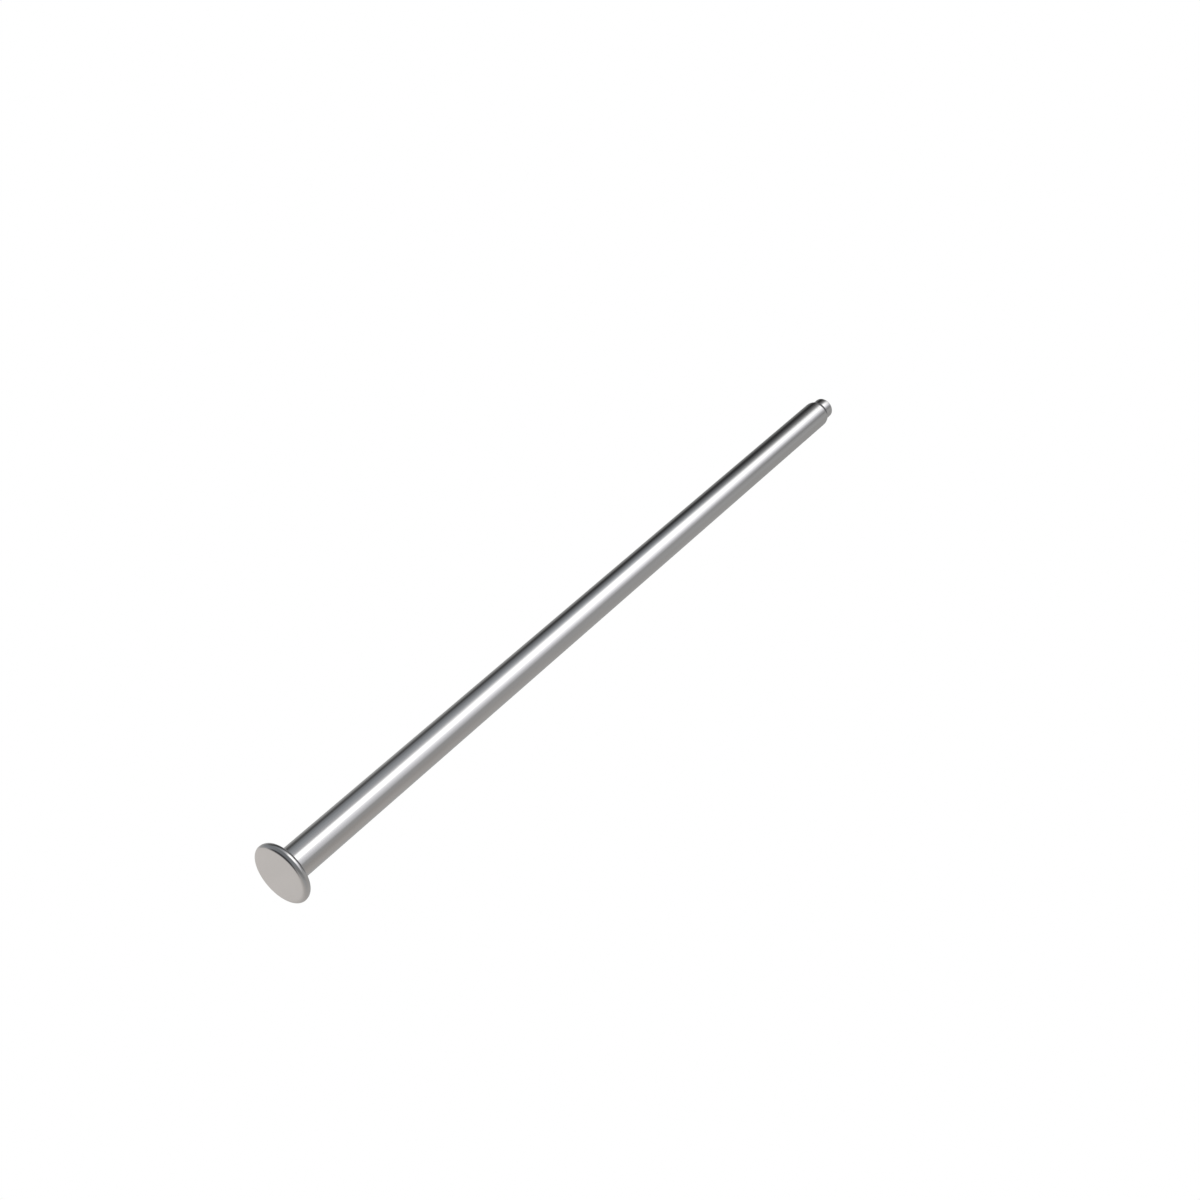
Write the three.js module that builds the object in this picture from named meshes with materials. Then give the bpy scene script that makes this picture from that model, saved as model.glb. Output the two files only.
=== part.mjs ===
// A headed steel pin in three pieces: a disc head, a long round shank and a short stub at its tip.
// Millimetres, +Z up. The pin lies along +X, from the head's front face at x = 0 to the stub's end.

import * as THREE from "three";

// Driving dimensions: everything is proportioned to the shank's diameter.
const SHANK_DIAMETER = 5;
const SHANK_LENGTH = 29.65 * SHANK_DIAMETER; // visible, from under the head to the shoulder
const HEAD_DIAMETER = 1.92 * SHANK_DIAMETER;
const HEAD_THICKNESS = 0.25 * SHANK_DIAMETER;
const STUB_DIAMETER = 0.79 * SHANK_DIAMETER;
const STUB_LENGTH = 0.46 * SHANK_DIAMETER; // visible, beyond the shoulder

// Rounded edges: how far each one reaches in from the outside and along the axis.
// The head's two edges meet at its widest, so its rim is round all over.
const HEAD_FRONT_EDGE = { inward: 0.09 * SHANK_DIAMETER, along: 0.11 * SHANK_DIAMETER };
const HEAD_BACK_EDGE = { inward: 0.09 * SHANK_DIAMETER, along: HEAD_THICKNESS - HEAD_FRONT_EDGE.along };
const SHOULDER_EDGE = { inward: 0.11 * SHANK_DIAMETER, along: 0.22 * SHANK_DIAMETER };
const STUB_END_EDGE = { inward: 0.11 * SHANK_DIAMETER, along: 0.05 * SHANK_DIAMETER };
const STUB_ROOT_CHAMFER = 0.02 * SHANK_DIAMETER; // leaves a fine groove where the stub meets the shank

// Hidden joints: the shank is set into the head's blind bore, and the stub's tail into the shank's end.
const HEAD_BORE_DEPTH = 0.5 * HEAD_THICKNESS;
const TAIL_DIAMETER = 0.5 * SHANK_DIAMETER;
const TAIL_LENGTH = 1.2 * SHANK_DIAMETER;
const TAIL_BORE_SPARE = 0.3; // the bore runs this much deeper than the tail
const LEAD_CHAMFER = 0.2; // eases each pressed end into its bore

const ROUND_SEGMENTS = 48; // facets about the axis
const ARC_STEPS = 6; // facets along a quarter-round edge

const shankRadius = SHANK_DIAMETER / 2;
const headRadius = HEAD_DIAMETER / 2;
const stubRadius = STUB_DIAMETER / 2;
const tailRadius = TAIL_DIAMETER / 2;
const shoulderX = HEAD_THICKNESS + SHANK_LENGTH;

// Profile points are (radius, distance along the axis).
const point = (radius, along) => new THREE.Vector2(radius, along);

// A quarter of an ellipse that eases a corner at (radius, along). Angle 0 points straight out from the
// axis and 90 points along it, so -90 to 0 rounds a corner that faces back and 0 to 90 one that faces on.
function roundEdge(radius, along, edge, fromDegrees, toDegrees) {
  const centreAlong = fromDegrees < 0 ? along + edge.along : along - edge.along;
  const points = [];
  for (let step = 0; step <= ARC_STEPS; step += 1) {
    const degrees = fromDegrees + ((toDegrees - fromDegrees) * step) / ARC_STEPS;
    const angle = THREE.MathUtils.degToRad(degrees);
    const reach = radius - edge.inward * (1 - Math.cos(angle));
    points.push(point(reach, centreAlong + edge.along * Math.sin(angle)));
  }
  return points;
}

function turnedPiece(name, profile, material) {
  const mesh = new THREE.Mesh(new THREE.LatheGeometry(profile, ROUND_SEGMENTS), material);
  mesh.name = name;
  return mesh;
}

function steel(color, roughness) {
  return new THREE.MeshStandardMaterial({ color, roughness, metalness: 1 });
}

// The disc, with a blind bore from behind so that its front face stays unbroken.
function makeHead() {
  const boreFloor = HEAD_THICKNESS - HEAD_BORE_DEPTH;
  const profile = [
    point(0, 0),
    ...roundEdge(headRadius, 0, HEAD_FRONT_EDGE, -90, 0),
    ...roundEdge(headRadius, HEAD_THICKNESS, HEAD_BACK_EDGE, 0, 90).slice(1),
    point(shankRadius, HEAD_THICKNESS),
    point(shankRadius, boreFloor),
    point(0, boreFloor),
  ];
  return turnedPiece("head", profile, steel(0xb9b5b2, 0.22));
}

// The long bar: its chamfered end stands on the floor of the head's bore, its far end is rounded and bored.
function makeShank() {
  const boreFloor = HEAD_THICKNESS - HEAD_BORE_DEPTH;
  const tailBoreFloor = shoulderX - TAIL_LENGTH - TAIL_BORE_SPARE;
  const profile = [
    point(0, boreFloor),
    point(shankRadius - LEAD_CHAMFER, boreFloor),
    point(shankRadius, boreFloor + LEAD_CHAMFER),
    ...roundEdge(shankRadius, shoulderX, SHOULDER_EDGE, 0, 90),
    point(tailRadius, shoulderX),
    point(tailRadius, tailBoreFloor),
    point(0, tailBoreFloor),
  ];
  return turnedPiece("shank", profile, steel(0xbdbab8, 0.16));
}

// The stub: a rounded end, a seat on the shank's end face, and a tail inside the shank.
function makeTipStub() {
  const tailEnd = shoulderX - TAIL_LENGTH;
  const stubEnd = shoulderX + STUB_LENGTH;
  const profile = [
    point(0, tailEnd),
    point(tailRadius - LEAD_CHAMFER, tailEnd),
    point(tailRadius, tailEnd + LEAD_CHAMFER),
    point(tailRadius, shoulderX),
    point(stubRadius - STUB_ROOT_CHAMFER, shoulderX),
    point(stubRadius, shoulderX + STUB_ROOT_CHAMFER),
    ...roundEdge(stubRadius, stubEnd, STUB_END_EDGE, 0, 90),
    point(0, stubEnd),
  ];
  return turnedPiece("tip_stub", profile, steel(0xbdbab8, 0.18));
}

// Lathe profiles turn about +Y, so the whole pin is laid over onto +X.
const pin = new THREE.Group();
pin.add(makeHead(), makeShank(), makeTipStub());
pin.rotation.z = -Math.PI / 2;

const part = new THREE.Group();
part.add(pin);

export default part;
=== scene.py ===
# A headed steel pin: a thin round head, a long straight shank and a short stub pressed into its far end.
# It lies along +X with the head's front face at x = 0. Lengths are in metres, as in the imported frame.
import math

import bpy
from mathutils import Matrix, Vector


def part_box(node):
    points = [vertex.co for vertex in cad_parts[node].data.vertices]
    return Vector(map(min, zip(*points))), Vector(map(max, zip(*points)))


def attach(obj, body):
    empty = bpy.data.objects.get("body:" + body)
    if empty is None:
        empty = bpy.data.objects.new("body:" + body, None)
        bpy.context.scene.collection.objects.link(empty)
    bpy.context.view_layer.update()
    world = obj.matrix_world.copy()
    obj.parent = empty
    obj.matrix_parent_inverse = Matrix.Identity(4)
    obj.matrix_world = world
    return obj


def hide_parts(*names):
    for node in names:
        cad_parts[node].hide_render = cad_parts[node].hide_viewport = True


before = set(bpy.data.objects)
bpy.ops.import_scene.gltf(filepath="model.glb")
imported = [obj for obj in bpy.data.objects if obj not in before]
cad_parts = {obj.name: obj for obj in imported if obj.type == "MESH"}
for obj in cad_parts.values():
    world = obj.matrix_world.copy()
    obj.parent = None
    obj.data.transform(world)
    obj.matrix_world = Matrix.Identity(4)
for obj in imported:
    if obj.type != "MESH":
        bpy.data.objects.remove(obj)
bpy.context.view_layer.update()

MM = 0.001

# Camera: a 50 mm lens on a 36 mm sensor. The pin's head lies at this place in the camera's own axes, and
# the camera sees what lies between the two last distances.
LENS_MM = 50
SENSOR_MM = 36
CAMERA_AZIMUTH = -55.29
CAMERA_ELEVATION = 36.58
HEAD_TO_RIGHT = -43.03 * MM
HEAD_UP = -37.03 * MM
HEAD_AHEAD = 223.56 * MM
SIGHT_NEAREST = 10 * MM
SIGHT_FURTHEST = 20000 * MM

# Fine shape: facets about the axis, steps along a quarter round, and the angle from which an edge is sharp.
ROUND_SEGMENTS = 256
ARC_STEPS = 24
SHARP_DEGREES = 40

# Rounded edges: how far each one reaches inward and along the axis.
HEAD_FRONT_EDGE = (0.90 * MM, 0.55 * MM)
HEAD_FRONT_POWER = 3  # above 2, so that the face falls away gently before it turns over
HEAD_BACK_EDGE = (0.45 * MM, 0.70 * MM)
SHOULDER_EDGE = (0.55 * MM, 1.1 * MM)
STUB_END_EDGE = (0.55 * MM, 0.25 * MM)
STUB_ROOT_CHAMFER = 0.1 * MM

# Hidden joints.
LEAD_CHAMFER = 0.2 * MM
FIT_GAP = 0.005 * MM  # keeps hidden joint faces apart
TAIL_SPARE = 0.3 * MM

# Steel and its surface. A scale is how many times a pattern changes in a metre: along its first direction,
# and sideways. A range is where a pattern or a measure starts to show and where it shows fully.
STEEL_COLOUR = (0.83, 0.825, 0.82)
SMEARED_SHARE = 0.975  # how bright the tone stays between the smears
DRAWN_SCALE = (110, 9000)
FACED_SCALE = (7000, 90)
TURNED_SCALE = (9000, 150)
SMEAR_SCALE = (60, 220)
SMEAR_RANGE = (0.35, 0.70)
SCRATCH_SCALE = (350, 2600)
SCRATCH_RANGE = (0.70, 0.76)
SCRATCH_DEPTH = 0.6  # against the depth of the tool marks
EDGE_RUB = 0.15 * MM  # how far in from the widest radius the surface is rubbed
AHEAD_RANGE = (0.95, 0.995)  # of the normal's part along +X, for a face that looks along +X
MARK_ROUGHNESS = 0.04  # what each kind of wear adds to the roughness
SCRATCH_ROUGHNESS = 0.05
RUB_ROUGHNESS = 0.02
RELIEF_STRENGTH = 0.5

# Each finish: its roughness, what a face along +X adds to it, and the depth of the tool marks.
FACED_FINISH = (0.14, 0.12, 0.002 * MM)
DRAWN_FINISH = (0.12, 0.0, 0.004 * MM)
TURNED_FINISH = (0.08, 0.3, 0.003 * MM)

WHITE = (1.0, 1.0, 1.0, 1.0)
BLACK = (0.0, 0.0, 0.0, 1.0)


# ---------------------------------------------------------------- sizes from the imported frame

def radius_of(node):
    """The widest radius of a CAD node, which is turned about the X axis."""
    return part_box(node)[1].y


head_low, head_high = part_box("head")
shank_low, shank_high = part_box("shank")
stub_low, stub_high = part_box("tip_stub")
HEAD_RADIUS = radius_of("head")
SHANK_RADIUS = radius_of("shank")
STUB_RADIUS = radius_of("tip_stub")
TAIL_RADIUS = SHANK_RADIUS / 2
HEAD_BACK = head_high.x
BORE_FLOOR = shank_low.x
SHOULDER = shank_high.x


# ---------------------------------------------------------------- turned pieces

def round_edge(corner_x, corner_radius, edge, facing, power=2):
    """Points (x, radius) that ease a corner by a quarter of an ellipse, or of a squarer curve where power
    is above 2. Facing is -1 for a corner that looks along -X and 1 for +X."""
    inward, along = edge
    points = []
    for step in range(ARC_STEPS + 1):
        share = step / ARC_STEPS
        angle = math.radians(90 * (share if facing > 0 else 1 - share))
        x = corner_x - facing * along * (1 - math.sin(angle))
        points.append((x, corner_radius - inward * (1 - abs(math.cos(angle)) ** (2 / power))))
    return points


def turned_piece(name, profile):
    """A closed solid turned about +X from a profile of (x, radius) that starts and ends on the axis."""
    first, last = profile[0], profile[-1]
    rings = profile[1:-1]
    verts = [(first[0], 0.0, 0.0)]
    for x, radius in rings:
        for step in range(ROUND_SEGMENTS):
            angle = 2 * math.pi * step / ROUND_SEGMENTS
            verts.append((x, radius * math.cos(angle), radius * math.sin(angle)))
    verts.append((last[0], 0.0, 0.0))
    end = len(verts) - 1
    faces = []
    for step in range(ROUND_SEGMENTS):
        after = (step + 1) % ROUND_SEGMENTS
        faces.append((0, 1 + after, 1 + step))
        for ring in range(len(rings) - 1):
            near = 1 + ring * ROUND_SEGMENTS
            far = near + ROUND_SEGMENTS
            faces.append((near + step, near + after, far + after, far + step))
        outer = 1 + (len(rings) - 1) * ROUND_SEGMENTS
        faces.append((end, outer + step, outer + after))
    mesh = bpy.data.meshes.new(name)
    mesh.from_pydata(verts, [], faces)
    mesh.shade_smooth()
    mesh.set_sharp_from_angle(angle=math.radians(SHARP_DEGREES))
    piece = bpy.data.objects.new(name, mesh)
    bpy.context.scene.collection.objects.link(piece)
    return piece


def make_head():
    """The disc, bored from behind for the shank."""
    bore = SHANK_RADIUS + FIT_GAP
    floor = BORE_FLOOR - FIT_GAP
    profile = [(0.0, 0.0), (0.0, SHANK_RADIUS)]
    profile += round_edge(0.0, HEAD_RADIUS, HEAD_FRONT_EDGE, -1, HEAD_FRONT_POWER)
    profile += round_edge(HEAD_BACK, HEAD_RADIUS, HEAD_BACK_EDGE, 1)[1:]
    profile += [(HEAD_BACK, bore), (floor, bore), (floor, 0.0)]
    return turned_piece("head_disc", profile)


def make_shank():
    """The bar, chamfered where it enters the head, rounded and bored at its far end."""
    bore = TAIL_RADIUS + FIT_GAP
    bore_floor = stub_low.x - TAIL_SPARE
    profile = [(BORE_FLOOR, 0.0), (BORE_FLOOR, SHANK_RADIUS - LEAD_CHAMFER)]
    profile += [(BORE_FLOOR + LEAD_CHAMFER, SHANK_RADIUS)]
    profile += round_edge(SHOULDER, SHANK_RADIUS, SHOULDER_EDGE, 1)
    profile += [(SHOULDER, bore), (bore_floor, bore), (bore_floor, 0.0)]
    return turned_piece("shank_bar", profile)


def make_stub():
    """The stub, seated on the shank's end, with its tail inside."""
    seat = SHOULDER + FIT_GAP
    profile = [(stub_low.x, 0.0), (stub_low.x, TAIL_RADIUS - LEAD_CHAMFER)]
    profile += [(stub_low.x + LEAD_CHAMFER, TAIL_RADIUS), (seat, TAIL_RADIUS)]
    profile += [(seat, STUB_RADIUS - STUB_ROOT_CHAMFER), (seat + STUB_ROOT_CHAMFER, STUB_RADIUS)]
    profile += round_edge(stub_high.x, STUB_RADIUS, STUB_END_EDGE, 1)
    profile += [(stub_high.x, 0.0)]
    return turned_piece("end_stub", profile)


# ---------------------------------------------------------------- materials

class Nodes:
    """Short ways to add and join shader nodes in one tree."""

    def __init__(self, tree):
        self.tree = tree
        self.tree.nodes.clear()

    def add(self, kind, **settings):
        node = self.tree.nodes.new(kind)
        for name, value in settings.items():
            setattr(node, name, value)
        return node

    def join(self, source, target):
        self.tree.links.new(source, target)

    def feed(self, socket, value):
        if isinstance(value, bpy.types.NodeSocket):
            self.join(value, socket)
        else:
            socket.default_value = value

    def math(self, operation, *values):
        node = self.add("ShaderNodeMath", operation=operation)
        for socket, value in zip(node.inputs, values):
            self.feed(socket, value)
        return node.outputs[0]

    def ease(self, value, low, high):
        """0 below low and 1 above high, with a smooth rise between."""
        node = self.add("ShaderNodeMapRange", interpolation_type="SMOOTHSTEP")
        self.feed(node.inputs["Value"], value)
        node.inputs["From Min"].default_value = low
        node.inputs["From Max"].default_value = high
        return node.outputs["Result"]

    def mix_colour(self, share, first, second):
        node = self.add("ShaderNodeMix", data_type="RGBA")
        self.feed(node.inputs["Factor"], share)
        self.feed(node.inputs["A"], first)
        self.feed(node.inputs["B"], second)
        return node.outputs["Result"]


def vector(nodes, *parts):
    """A vector from three sockets or numbers."""
    node = nodes.add("ShaderNodeCombineXYZ")
    for socket, part in zip(node.inputs, parts):
        nodes.feed(socket, part)
    return node.outputs[0]


def noise(nodes, place, detail):
    node = nodes.add("ShaderNodeTexNoise")
    node.inputs["Scale"].default_value = 1.0
    node.inputs["Detail"].default_value = detail
    nodes.join(place, node.inputs["Vector"])
    return node.outputs["Fac"]


def split(nodes, source):
    """The three parts of a vector."""
    node = nodes.add("ShaderNodeSeparateXYZ")
    nodes.join(source, node.inputs[0])
    return node.outputs


class Place:
    """Where a point is on the pin: x, y, z, its distance from the axis, and whether it faces along +X."""

    def __init__(self, nodes):
        self.nodes = nodes
        coordinates = nodes.add("ShaderNodeTexCoord")
        self.x, self.y, self.z = split(nodes, coordinates.outputs["Object"])
        squares = nodes.math("ADD", nodes.math("POWER", self.y, 2.0), nodes.math("POWER", self.z, 2.0))
        self.radius = nodes.math("SQRT", squares)
        self.faces_ahead = nodes.ease(split(nodes, coordinates.outputs["Normal"])[0], *AHEAD_RANGE)

    def pattern(self, first, scale, detail=3.0):
        """Noise at a scale, whose first number holds along the first socket and whose second sideways."""
        along, across = scale
        parts = ((first, along), (self.y, across), (self.z, across))
        scaled = [self.nodes.math("MULTIPLY", part, factor) for part, factor in parts]
        return noise(self.nodes, vector(self.nodes, *scaled), detail)


def drawn_lines(place):
    """Long fine lines along the shank, left by the drawing die."""
    return place.pattern(place.x, DRAWN_SCALE)


def facing_rings(place):
    """Fine rings about the axis, left by the tool that faced the head."""
    return place.pattern(place.radius, FACED_SCALE)


def turning_rings(place):
    """Fine rings round the stub and across its end, left by turning."""
    return place.pattern(place.nodes.math("ADD", place.x, place.radius), TURNED_SCALE)


def worn_roughness(nodes, roughness, grain, smears, wear):
    """Roughness that varies with the marks and smears, plus a share of its own for each kind of wear."""
    rough = nodes.math("MULTIPLY", nodes.math("ADD", grain, smears), MARK_ROUGHNESS)
    for amount, share in wear:
        rough = nodes.math("ADD", rough, nodes.math("MULTIPLY", amount, share))
    # Marks and smears are about a half each, so together they add MARK_ROUGHNESS on average.
    return nodes.math("ADD", rough, roughness - MARK_ROUGHNESS)


def smeared_tone(nodes, smears):
    """The steel's colour, a little darker between the smears."""
    darker = tuple(SMEARED_SHARE * channel for channel in STEEL_COLOUR)
    return nodes.mix_colour(nodes.ease(smears, *SMEAR_RANGE), (*darker, 1.0), (*STEEL_COLOUR, 1.0))


def fine_relief(nodes, grain, scratches, depth):
    """The normal of a surface with raised tool marks and sunk scratches."""
    bump = nodes.add("ShaderNodeBump")
    bump.inputs["Strength"].default_value = RELIEF_STRENGTH
    bump.inputs["Distance"].default_value = depth
    height = nodes.math("SUBTRACT", grain, nodes.math("MULTIPLY", scratches, SCRATCH_DEPTH))
    nodes.join(height, bump.inputs["Height"])
    return bump.outputs["Normal"]


def steel(name, marks, finish, edge_radius):
    """Bright steel with fine tool marks, faint smears, sparse handling scratches and a rubbed edge.
    A face that looks along +X isn't polished, so it is rougher than the rest."""
    roughness, end_roughness, mark_depth = finish
    material = bpy.data.materials.new(name)
    material.use_nodes = True
    nodes = Nodes(material.node_tree)
    output = nodes.add("ShaderNodeOutputMaterial")
    shader = nodes.add("ShaderNodeBsdfPrincipled")
    nodes.join(shader.outputs["BSDF"], output.inputs["Surface"])

    place = Place(nodes)
    grain = marks(place)
    smears = place.pattern(place.x, SMEAR_SCALE, detail=2.0)
    scratches = nodes.ease(place.pattern(place.x, SCRATCH_SCALE, detail=1.0), *SCRATCH_RANGE)
    rubbed = nodes.ease(place.radius, edge_radius - EDGE_RUB, edge_radius)
    wear = [(scratches, SCRATCH_ROUGHNESS), (rubbed, RUB_ROUGHNESS), (place.faces_ahead, end_roughness)]

    shader.inputs["Metallic"].default_value = 1.0
    nodes.join(smeared_tone(nodes, smears), shader.inputs["Base Color"])
    nodes.join(worn_roughness(nodes, roughness, grain, smears, wear), shader.inputs["Roughness"])
    nodes.join(fine_relief(nodes, grain, scratches, mark_depth), shader.inputs["Normal"])
    return material


def dress(piece, material, node):
    """Give a piece its material and slot. It stands for its CAD node, on the pin's only body."""
    piece.data.materials.append(material)
    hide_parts(node)
    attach(piece, "root")


# ---------------------------------------------------------------- studio

PLAIN = (1.0, 1.0, 1.0)
COOL = (0.955, 1.0, 1.06)
FAINTLY_COOL = (1.0, 1.0, 1.04)
WARM = (1.05, 1.0, 0.965)
FAINTLY_WARM = (1.015, 1.0, 0.985)

# The studio's light around the pin's axis: (degrees about +X from +Y to +Z, brightness in steel, tint).
# The pale floor fills the lower half, from -180 to about 0. Then come a dark gap at about 25, a grey wall
# that brightens upwards, and the main softbox at about 110, whose light falls off down the other side.
# NEAR, MIDDLE and FAR are what the shank mirrors by its head, half way and by its tip, seen from beyond the
# head. SIDE is what it mirrors from elsewhere. HEAD is what the head mirrors, with no softbox in it.
STUDIO_NEAR = [
    (-165, 0.25, WARM),
    (-125, 0.30, WARM),
    (-85, 0.32, FAINTLY_WARM),
    (-52, 0.36, PLAIN),
    (-24, 0.31, PLAIN),
    (-8, 0.27, PLAIN),
    (6, 0.12, PLAIN),
    (20, 0.055, PLAIN),
    (40, 0.175, COOL),
    (60, 0.25, COOL),
    (85, 0.335, FAINTLY_COOL),
    (102, 1.15, PLAIN),
    (122, 1.15, PLAIN),
    (136, 0.66, FAINTLY_COOL),
    (153, 0.485, FAINTLY_COOL),
    (172, 0.25, PLAIN),
]
STUDIO_MIDDLE = [
    (-172, 0.28, PLAIN),
    (-140, 0.275, FAINTLY_WARM),
    (-95, 0.29, FAINTLY_WARM),
    (-60, 0.31, PLAIN),
    (-24, 0.235, PLAIN),
    (-6, 0.21, PLAIN),
    (8, 0.08, PLAIN),
    (25, 0.015, PLAIN),
    (40, 0.08, COOL),
    (56, 0.18, COOL),
    (74, 0.36, COOL),
    (93, 1.15, PLAIN),
    (120, 1.15, PLAIN),
    (137, 0.80, FAINTLY_COOL),
    (152, 0.455, FAINTLY_COOL),
    (168, 0.26, PLAIN),
]
STUDIO_FAR = [
    (-175, 0.29, PLAIN),
    (-140, 0.27, FAINTLY_WARM),
    (-85, 0.265, FAINTLY_WARM),
    (-52, 0.29, PLAIN),
    (-22, 0.19, PLAIN),
    (0, 0.13, PLAIN),
    (14, 0.045, PLAIN),
    (32, 0.015, PLAIN),
    (55, 0.07, PLAIN),
    (73, 0.21, PLAIN),
    (103, 1.15, PLAIN),
    (114, 1.15, PLAIN),
    (128, 0.78, FAINTLY_COOL),
    (150, 0.32, FAINTLY_COOL),
    (163, 0.20, PLAIN),
]
STUDIO_SIDE = [
    (-172, 0.08, PLAIN),
    (-150, 0.22, WARM),
    (-90, 0.40, FAINTLY_WARM),
    (-35, 0.30, PLAIN),
    (-5, 0.10, PLAIN),
    (18, 0.05, PLAIN),
    (48, 0.20, COOL),
    (80, 0.36, COOL),
    (96, 1.10, PLAIN),
    (124, 1.15, PLAIN),
    (140, 0.62, PLAIN),
    (162, 0.30, COOL),
]
STUDIO_HEAD = [
    (-175, 0.22, PLAIN),
    (-160, 0.27, PLAIN),
    (-105, 0.31, WARM),
    (-80, 0.345, WARM),
    (-64, 0.40, WARM),
    (-52, 0.465, WARM),
    (-25, 0.46, WARM),
    (-9, 0.28, PLAIN),
    (8, 0.205, COOL),
    (35, 0.175, COOL),
    (75, 0.15, COOL),
    (127, 0.175, COOL),
    (165, 0.155, PLAIN),
]

# How far along +X a direction points: where NEAR, MIDDLE and FAR hold, and the range over which they give
# way to what the head and the sides mirror.
NEAR_ALONG = 0.50
MIDDLE_ALONG = 0.70
FAR_ALONG = 0.77
HEAD_RANGE = (0.50, 0.10)

# Two dark flags, one beyond each end of the pin. Each has a direction, a range of how squarely another one
# points along it, and a colour.
HEAD_FLAG = (-0.93, 0.35, -0.05)
HEAD_FLAG_RANGE = (0.83, 0.97)
HEAD_FLAG_COLOUR = (0.055, 0.055, 0.06, 1.0)
TIP_FLAG = (0.99, 0.0, 0.12)
TIP_FLAG_RANGE = (0.85, 0.92)
TIP_FLAG_COLOUR = (0.13, 0.13, 0.135, 1.0)

# The floor's half width, and how far out each wash stands. The washes mustn't coincide.
FLOOR_REACH = 3.0
HEAD_WASH_REACH = 4.0
BAR_WASH_REACH = 5.0


def around(nodes, turn, stops):
    """The studio's colour at a turn about the axis, from 0 to 1 for -180 to 180 degrees."""
    node = nodes.add("ShaderNodeValToRGB")
    nodes.join(turn, node.inputs["Fac"])
    ramp = node.color_ramp
    ramp.interpolation = "EASE"
    while len(ramp.elements) > 1:
        ramp.elements.remove(ramp.elements[-1])
    # The last stop stands again at the ramp's start and the first one at its end, to close the circle.
    first, last = stops[0], stops[-1]
    before = (last[0] - 360, *last[1:])
    after = (first[0] + 360, *first[1:])
    for index, (degrees, level, tint) in enumerate([before, *stops, after]):
        place = degrees / 360 + 0.5
        element = ramp.elements[0] if index == 0 else ramp.elements.new(place)
        element.position = place
        element.color = (*[level * channel / STEEL_COLOUR[1] for channel in tint], 1.0)
    return node.outputs["Color"]


def points_at(nodes, direction, centre):
    """How squarely a direction points at a centre: 1 when straight at it."""
    node = nodes.add("ShaderNodeVectorMath", operation="DOT_PRODUCT")
    nodes.join(direction, node.inputs[0])
    node.inputs[1].default_value = Vector(centre).normalized()
    return node.outputs["Value"]


class Outlook:
    """What lies in a direction: its turn about the axis, and the share of it that each light has."""

    def __init__(self, nodes, direction):
        along, side, up = split(nodes, direction)
        angle = nodes.math("ARCTAN2", up, side)
        self.turn = nodes.math("ADD", nodes.math("DIVIDE", angle, 2 * math.pi), 0.5)
        self.by_middle = nodes.ease(along, NEAR_ALONG, MIDDLE_ALONG)
        self.by_tip = nodes.ease(along, MIDDLE_ALONG, FAR_ALONG)
        self.by_head = nodes.ease(along, *HEAD_RANGE)
        self.in_head_flag = nodes.ease(points_at(nodes, direction, HEAD_FLAG), *HEAD_FLAG_RANGE)
        self.in_tip_flag = nodes.ease(points_at(nodes, direction, TIP_FLAG), *TIP_FLAG_RANGE)


def make_studio():
    """A soft studio: strips of light and shade that run beside the pin. The camera sees a plain white."""
    world = bpy.data.worlds.new("studio")
    bpy.context.scene.world = world
    world.use_nodes = True
    nodes = Nodes(world.node_tree)
    output = nodes.add("ShaderNodeOutputWorld")
    outlook = Outlook(nodes, nodes.add("ShaderNodeTexCoord").outputs["Generated"])
    ramps = (STUDIO_NEAR, STUDIO_MIDDLE, STUDIO_FAR)
    near, middle, far = (around(nodes, outlook.turn, stops) for stops in ramps)
    strips = nodes.mix_colour(outlook.by_middle, near, middle)
    strips = nodes.mix_colour(outlook.by_tip, strips, far)
    ending = nodes.mix_colour(outlook.by_head, strips, BLACK)
    flagged = nodes.mix_colour(outlook.in_tip_flag, ending, TIP_FLAG_COLOUR)
    flagged = nodes.mix_colour(outlook.in_head_flag, flagged, HEAD_FLAG_COLOUR)

    glow = nodes.add("ShaderNodeBackground")
    nodes.join(flagged, glow.inputs["Color"])
    backdrop = nodes.add("ShaderNodeBackground")
    backdrop.inputs["Color"].default_value = WHITE
    seen = nodes.add("ShaderNodeLightPath").outputs["Is Camera Ray"]
    choose = nodes.add("ShaderNodeMixShader")
    nodes.join(seen, choose.inputs["Fac"])
    nodes.join(glow.outputs["Background"], choose.inputs[1])
    nodes.join(backdrop.outputs["Background"], choose.inputs[2])
    nodes.join(choose.outputs["Shader"], output.inputs["Surface"])


def plain_mesh(name, corners, faces, material):
    """A plain surface that belongs to the stage."""
    mesh = bpy.data.meshes.new(name)
    mesh.from_pydata(corners, [], faces)
    mesh.materials.append(material)
    stage = bpy.data.objects.new(name, mesh)
    bpy.context.scene.collection.objects.link(stage)
    return stage


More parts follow.
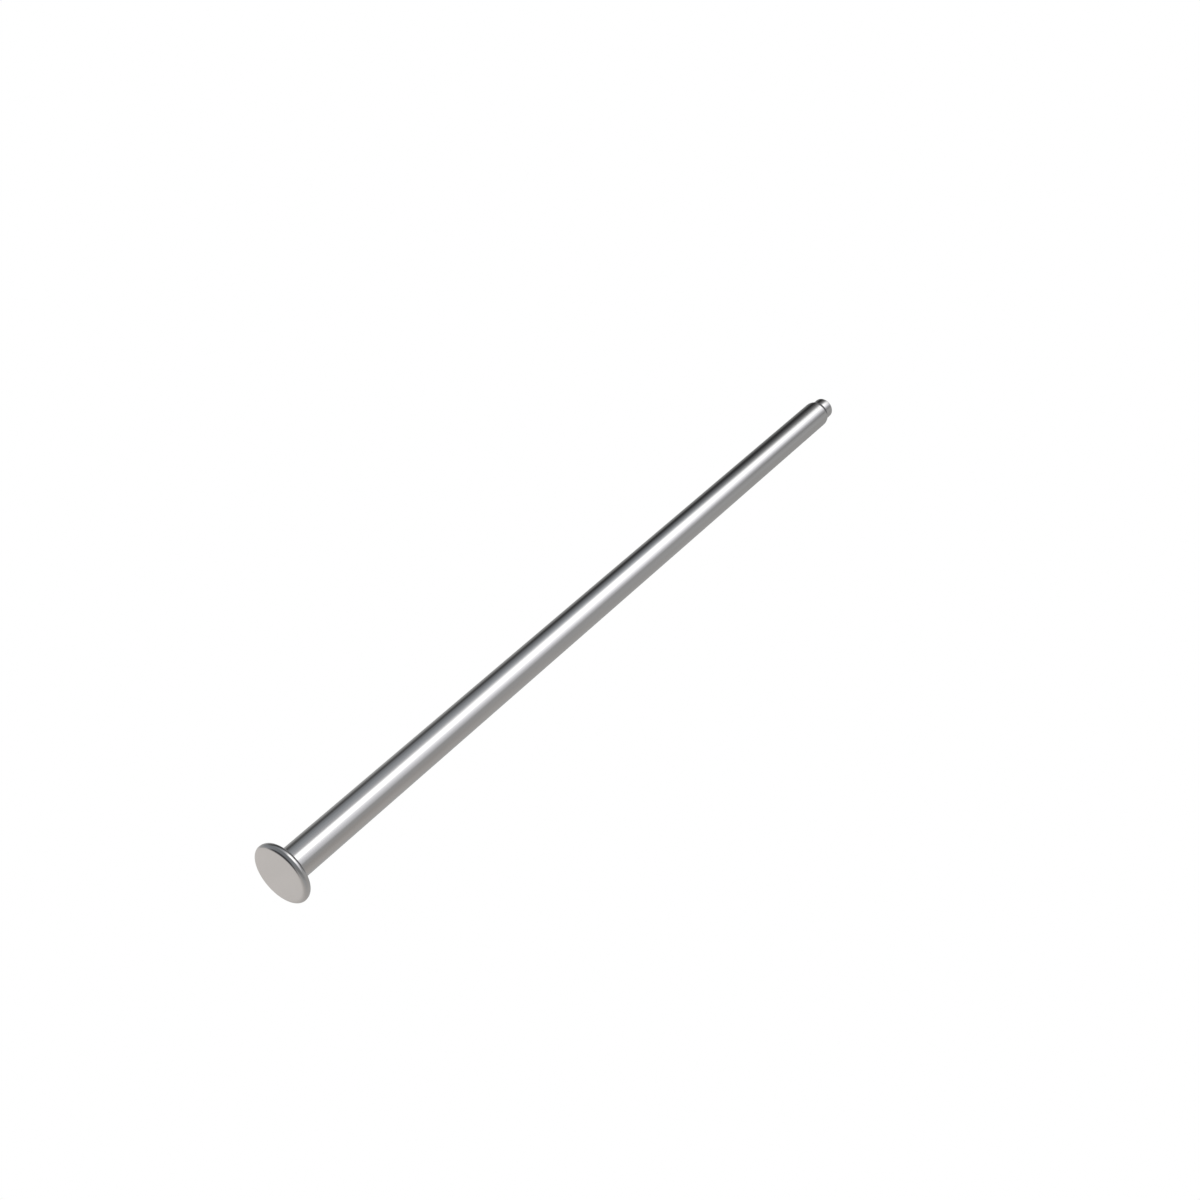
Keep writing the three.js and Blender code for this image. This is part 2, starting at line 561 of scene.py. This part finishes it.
def make_wash(name, stops, reach, pieces, flagged):
    """Soft light from beside the pin and beyond its head, on some pieces only. It lets other light through.
    A flagged one is dark where the head's flag is."""
    material = bpy.data.materials.new(name)
    material.use_nodes = True
    nodes = Nodes(material.node_tree)
    output = nodes.add("ShaderNodeOutputMaterial")
    ray = nodes.add("ShaderNodeVectorMath", operation="NORMALIZE")
    nodes.join(nodes.add("ShaderNodeTexCoord").outputs["Object"], ray.inputs[0])
    outlook = Outlook(nodes, ray.outputs["Vector"])
    glow = nodes.add("ShaderNodeEmission")
    nodes.join(around(nodes, outlook.turn, stops), glow.inputs["Color"])
    strength = outlook.by_head
    if flagged:
        strength = nodes.math("MULTIPLY", strength, nodes.math("SUBTRACT", 1.0, outlook.in_head_flag))
    nodes.join(strength, glow.inputs["Strength"])
    both = nodes.add("ShaderNodeAddShader")
    nodes.join(glow.outputs["Emission"], both.inputs[0])
    nodes.join(nodes.add("ShaderNodeBsdfTransparent").outputs["BSDF"], both.inputs[1])
    nodes.join(both.outputs["Shader"], output.inputs["Surface"])

    corners = [(x, y, z) for x in (-reach, reach) for y in (-reach, reach) for z in (-reach, reach)]
    faces = [(0, 1, 3, 2), (4, 6, 7, 5), (0, 4, 5, 1), (2, 3, 7, 6), (0, 2, 6, 4), (1, 5, 7, 3)]
    wash = plain_mesh(name, corners, faces, material)
    wash.visible_camera = False
    wash.visible_diffuse = False
    wash.visible_shadow = False
    lit_pieces = bpy.data.collections.new(name)
    for piece in pieces:
        lit_pieces.objects.link(piece)
    wash.light_linking.receiver_collection = lit_pieces


def make_floor():
    """A plain white floor under the head's rim, lit flat."""
    material = bpy.data.materials.new("floor_white")
    material.use_nodes = True
    nodes = Nodes(material.node_tree)
    output = nodes.add("ShaderNodeOutputMaterial")
    glow = nodes.add("ShaderNodeEmission")
    glow.inputs["Color"].default_value = WHITE
    nodes.join(glow.outputs["Emission"], output.inputs["Surface"])
    signs = ((-1, -1), (1, -1), (1, 1), (-1, 1))
    corners = [(x * FLOOR_REACH, y * FLOOR_REACH, head_low.z) for x, y in signs]
    floor = plain_mesh("floor", corners, [(0, 1, 2, 3)], material)
    floor.visible_glossy = False
    floor.visible_diffuse = False
    floor.visible_shadow = False


def make_camera():
    """The camera, placed so that the head's face centre has its stated place in the camera's axes."""
    turn = math.radians(CAMERA_AZIMUTH)
    tilt = math.radians(90 - CAMERA_ELEVATION)
    rotation = Matrix.Rotation(turn, 3, "Z") @ Matrix.Rotation(tilt, 3, "X")
    data = bpy.data.cameras.new("camera")
    data.lens = LENS_MM
    data.sensor_width = SENSOR_MM
    data.clip_start = SIGHT_NEAREST
    data.clip_end = SIGHT_FURTHEST
    camera = bpy.data.objects.new("camera", data)
    bpy.context.scene.collection.objects.link(camera)
    place = rotation @ Vector((-HEAD_TO_RIGHT, -HEAD_UP, HEAD_AHEAD))
    camera.matrix_world = Matrix.Translation(place) @ rotation.to_4x4()
    bpy.context.scene.camera = camera


# ---------------------------------------------------------------- scene

head = make_head()
shank = make_shank()
stub = make_stub()
faced_steel = steel("faced_steel", facing_rings, FACED_FINISH, HEAD_RADIUS)
drawn_steel = steel("drawn_steel", drawn_lines, DRAWN_FINISH, SHANK_RADIUS)
turned_steel = steel("turned_steel", turning_rings, TURNED_FINISH, STUB_RADIUS)
dress(head, faced_steel, "head")
dress(shank, drawn_steel, "shank")
dress(stub, turned_steel, "tip_stub")
make_studio()
make_wash("head_wash", STUDIO_HEAD, HEAD_WASH_REACH, [head], flagged=True)
make_wash("bar_wash", STUDIO_SIDE, BAR_WASH_REACH, [shank, stub], flagged=False)
make_floor()
make_camera()

bpy.context.scene.view_settings.view_transform = "Standard"  # keeps the backdrop pure white
